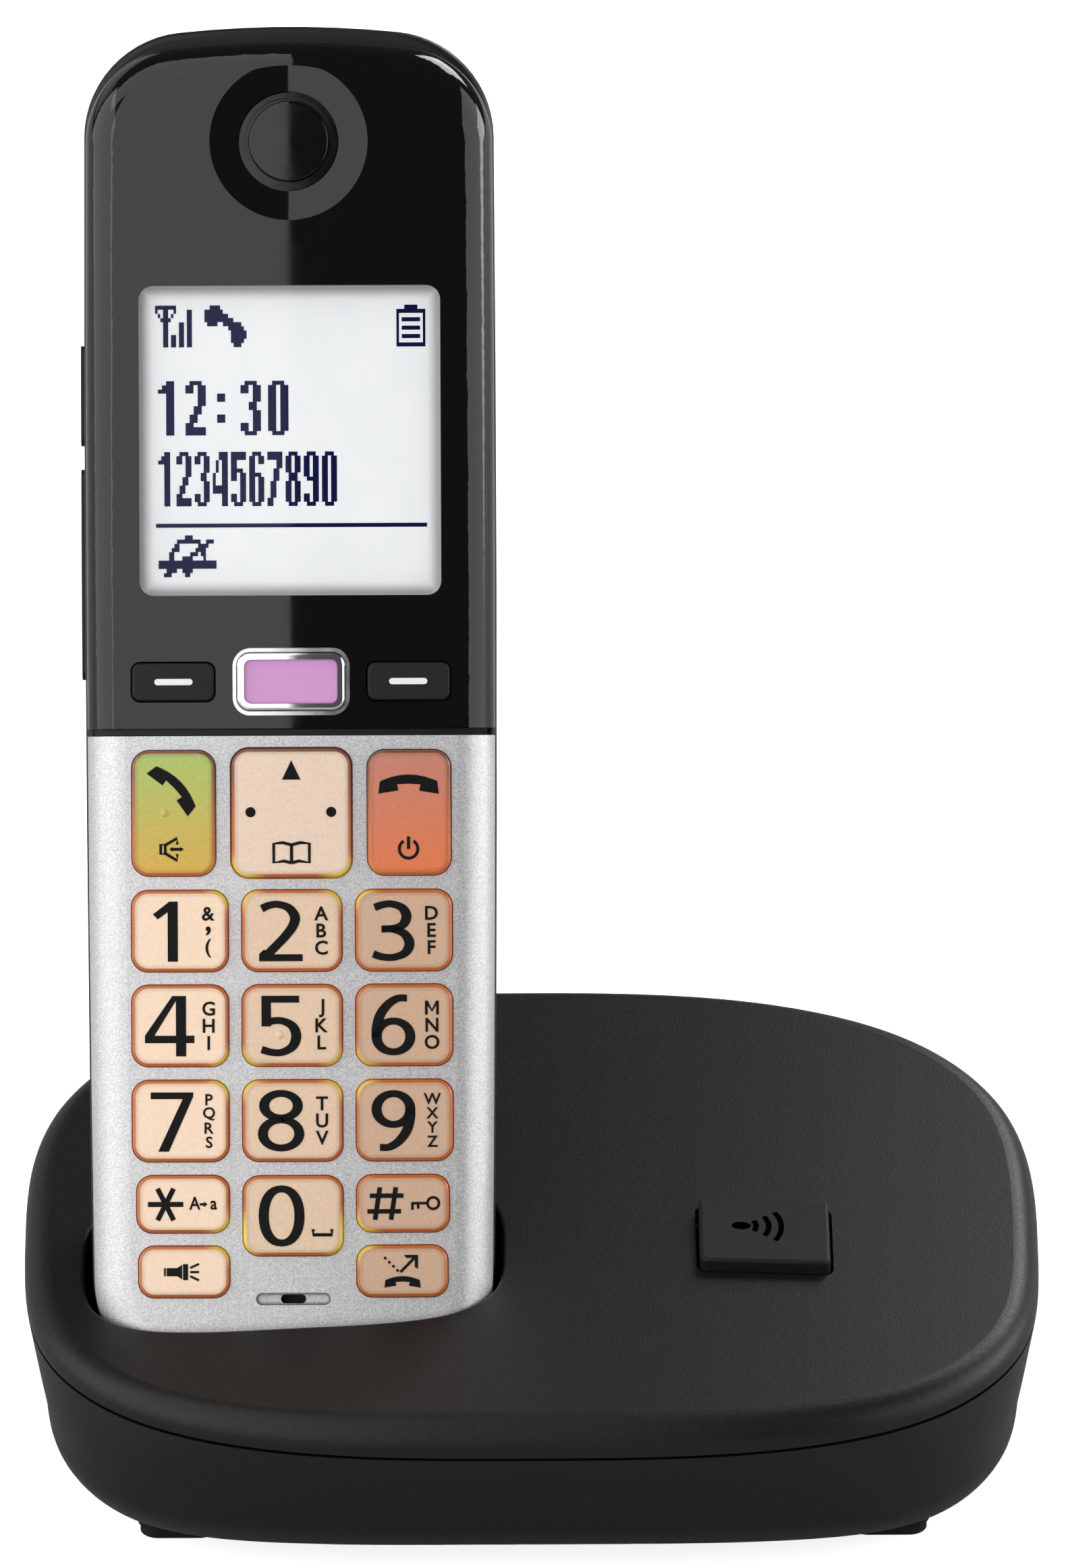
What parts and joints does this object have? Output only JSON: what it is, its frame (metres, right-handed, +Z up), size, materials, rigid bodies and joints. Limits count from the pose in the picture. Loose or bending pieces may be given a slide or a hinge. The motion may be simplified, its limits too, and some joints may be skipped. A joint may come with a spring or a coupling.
{
  "type": "cordless phone with base",
  "caption": "Cordless telephone handset leaning back in a low rounded charging base, with large keys, a window display and a locator button on the base.",
  "frame": {"origin": "on the floor under the middle of the whole object's bounding box, handset docked", "axes": "+Z up, +X to the right as seen from the keypad side, +Y towards the back (the sockets)"},
  "size_m": [0.1248, 0.1213, 0.1595],
  "materials": {
    "base_black": "fine matte texture",
    "rubber_black": "satin",
    "steel": "plated",
    "circuit_board": "solder mask",
    "socket_black": "moulded",
    "sheet_metal": "tin plated",
    "capacitor_sleeve": "shrink sleeve",
    "contact_metal": "nickel plated",
    "gloss_black": "high gloss",
    "silver_paint": "metallic silver paint",
    "case_black": "satin",
    "cell_sleeve": "shrink sleeve",
    "display": "white backlit display",
    "guide_white": "translucent",
    "clear_window": "clear",
    "ear_black": "satin gloss",
    "speaker_grey": "moulded",
    "key_champagne": "metallic paint over amber",
    "key_green": "green to amber paint",
    "key_red": "red to orange paint",
    "chrome_ring": "polished",
    "lilac": "translucent lilac"
  },
  "bodies": {
    "base": {"base_top_cover": "base_black", "base_bottom_cover": "base_black", "base_feet": "rubber_black", "base_screws": "steel", "base_circuit_board": "circuit_board", "line_socket": "socket_black", "power_socket": "socket_black", "locator_switch": "socket_black", "base_antenna": "sheet_metal", "rf_shield": "sheet_metal", "capacitors": "capacitor_sleeve"},
    "charge_contact_left": {"charge_contact_left": "contact_metal"},
    "charge_contact_right": {"charge_contact_right": "contact_metal"},
    "locator_button": {"locator_button": "base_black"},
    "handset": {"front_lower_panel": "silver_paint", "front_upper_panel": "gloss_black", "handset_inner_frame": "case_black", "handset_rear_case": "case_black", "battery_cells": "cell_sleeve", "battery_springs": "steel", "battery_plates": "sheet_metal", "handset_circuit_board": "circuit_board", "keypad_mat": "rubber_black", "lcd_module": "display", "light_guide": "guide_white", "lcd_lens": "clear_window", "earpiece_disc": "ear_black", "earpiece_speaker": "speaker_grey", "ringer_speaker": "speaker_grey", "microphone": "speaker_grey", "torch_lens": "clear_window", "torch_led": "clear_window", "handset_charge_plates": "contact_metal", "handset_screws": "steel", "handset_antenna": "sheet_metal"},
    "battery_door": {"battery_door": "case_black"},
    "key_1": {"key_1": "key_champagne"},
    "key_2": {"key_2": "key_champagne"},
    "key_3": {"key_3": "key_champagne"},
    "key_4": {"key_4": "key_champagne"},
    "key_5": {"key_5": "key_champagne"},
    "key_6": {"key_6": "key_champagne"},
    "key_7": {"key_7": "key_champagne"},
    "key_8": {"key_8": "key_champagne"},
    "key_9": {"key_9": "key_champagne"},
    "key_0": {"key_0": "key_champagne"},
    "key_star": {"key_star": "key_champagne"},
    "key_hash": {"key_hash": "key_champagne"},
    "torch_key": {"torch_key": "key_champagne"},
    "call_block_key": {"call_block_key": "key_champagne"},
    "talk_key": {"talk_key": "key_green"},
    "off_key": {"off_key": "key_red"},
    "soft_key_left": {"soft_key_left": "rubber_black"},
    "soft_key_right": {"soft_key_right": "rubber_black"},
    "navigation_post": {"navigation_post": "guide_white"},
    "navigation_key": {"navigation_key": "key_champagne"},
    "centre_key": {"centre_key_ring": "chrome_ring", "centre_key_insert": "lilac"},
    "side_key": {"side_key": "case_black"},
    "volume_rocker": {"volume_rocker": "case_black"}
  },
  "joints": [
    {"name": "handset_lift", "type": "slide", "parent": "base", "child": "handset", "axis": [0, 0.5, 0.866], "range_m": [0, 0.06]},
    {"name": "locator_press", "type": "slide", "parent": "base", "child": "locator_button", "axis": [0, 0, -1], "range_m": [0, 0.001], "stiffness_N_per_m": 900},
    {"name": "charge_contact_left_spring", "type": "slide", "parent": "base", "child": "charge_contact_left", "axis": [0, 0.5, 0.866], "range_m": [-0.001, 0], "stiffness_N_per_m": 150},
    {"name": "charge_contact_right_spring", "type": "slide", "parent": "base", "child": "charge_contact_right", "axis": [0, 0.5, 0.866], "range_m": [-0.001, 0], "stiffness_N_per_m": 150},
    {"name": "battery_door_removal", "type": "slide", "parent": "handset", "child": "battery_door", "axis": [0, 0.866, -0.5], "range_m": [0, 0.012]},
    {"name": "key_1_press", "type": "slide", "parent": "handset", "child": "key_1", "axis": [0, 0.866, -0.5], "range_m": [0, 0.0008], "stiffness_N_per_m": 600},
    {"name": "key_2_press", "type": "slide", "parent": "handset", "child": "key_2", "axis": [0, 0.866, -0.5], "range_m": [0, 0.0008], "stiffness_N_per_m": 600},
    {"name": "key_3_press", "type": "slide", "parent": "handset", "child": "key_3", "axis": [0, 0.866, -0.5], "range_m": [0, 0.0008], "stiffness_N_per_m": 600},
    {"name": "key_4_press", "type": "slide", "parent": "handset", "child": "key_4", "axis": [0, 0.866, -0.5], "range_m": [0, 0.0008], "stiffness_N_per_m": 600},
    {"name": "key_5_press", "type": "slide", "parent": "handset", "child": "key_5", "axis": [0, 0.866, -0.5], "range_m": [0, 0.0008], "stiffness_N_per_m": 600},
    {"name": "key_6_press", "type": "slide", "parent": "handset", "child": "key_6", "axis": [0, 0.866, -0.5], "range_m": [0, 0.0008], "stiffness_N_per_m": 600},
    {"name": "key_7_press", "type": "slide", "parent": "handset", "child": "key_7", "axis": [0, 0.866, -0.5], "range_m": [0, 0.0008], "stiffness_N_per_m": 600},
    {"name": "key_8_press", "type": "slide", "parent": "handset", "child": "key_8", "axis": [0, 0.866, -0.5], "range_m": [0, 0.0008], "stiffness_N_per_m": 600},
    {"name": "key_9_press", "type": "slide", "parent": "handset", "child": "key_9", "axis": [0, 0.866, -0.5], "range_m": [0, 0.0008], "stiffness_N_per_m": 600},
    {"name": "key_0_press", "type": "slide", "parent": "handset", "child": "key_0", "axis": [0, 0.866, -0.5], "range_m": [0, 0.0008], "stiffness_N_per_m": 600},
    {"name": "key_star_press", "type": "slide", "parent": "handset", "child": "key_star", "axis": [0, 0.866, -0.5], "range_m": [0, 0.0008], "stiffness_N_per_m": 600},
    {"name": "key_hash_press", "type": "slide", "parent": "handset", "child": "key_hash", "axis": [0, 0.866, -0.5], "range_m": [0, 0.0008], "stiffness_N_per_m": 600},
    {"name": "torch_key_press", "type": "slide", "parent": "handset", "child": "torch_key", "axis": [0, 0.866, -0.5], "range_m": [0, 0.0008], "stiffness_N_per_m": 600},
    {"name": "call_block_key_press", "type": "slide", "parent": "handset", "child": "call_block_key", "axis": [0, 0.866, -0.5], "range_m": [0, 0.0008], "stiffness_N_per_m": 600},
    {"name": "talk_key_press", "type": "slide", "parent": "handset", "child": "talk_key", "axis": [0, 0.866, -0.5], "range_m": [0, 0.0008], "stiffness_N_per_m": 600},
    {"name": "off_key_press", "type": "slide", "parent": "handset", "child": "off_key", "axis": [0, 0.866, -0.5], "range_m": [0, 0.0008], "stiffness_N_per_m": 600},
    {"name": "soft_key_left_press", "type": "slide", "parent": "handset", "child": "soft_key_left", "axis": [0, 0.866, -0.5], "range_m": [0, 0.0008], "stiffness_N_per_m": 600},
    {"name": "soft_key_right_press", "type": "slide", "parent": "handset", "child": "soft_key_right", "axis": [0, 0.866, -0.5], "range_m": [0, 0.0008], "stiffness_N_per_m": 600},
    {"name": "centre_key_press", "type": "slide", "parent": "handset", "child": "centre_key", "axis": [0, 0.866, -0.5], "range_m": [0, 0.0008], "stiffness_N_per_m": 600},
    {"name": "navigation_up_down", "type": "hinge", "parent": "handset", "child": "navigation_post", "pos_m": [-0.0292, -0.00518, 0.07908], "axis": [1, 0, 0], "range_deg": [-2.5, 2.5], "stiffness_Nm_per_rad": 0.05},
    {"name": "navigation_left_right", "type": "hinge", "parent": "navigation_post", "child": "navigation_key", "pos_m": [-0.0292, -0.00518, 0.07908], "axis": [0, 0.5, 0.866], "range_deg": [-2.5, 2.5], "stiffness_Nm_per_rad": 0.05},
    {"name": "side_key_press", "type": "slide", "parent": "handset", "child": "side_key", "axis": [1, 0, 0], "range_m": [0, 0.0005], "stiffness_N_per_m": 800},
    {"name": "volume_rock", "type": "hinge", "parent": "handset", "child": "volume_rocker", "pos_m": [-0.0537, 0.01897, 0.09891], "axis": [0, 0.866, -0.5], "range_deg": [-1.2, 1.2], "stiffness_Nm_per_rad": 0.1}
  ]
}
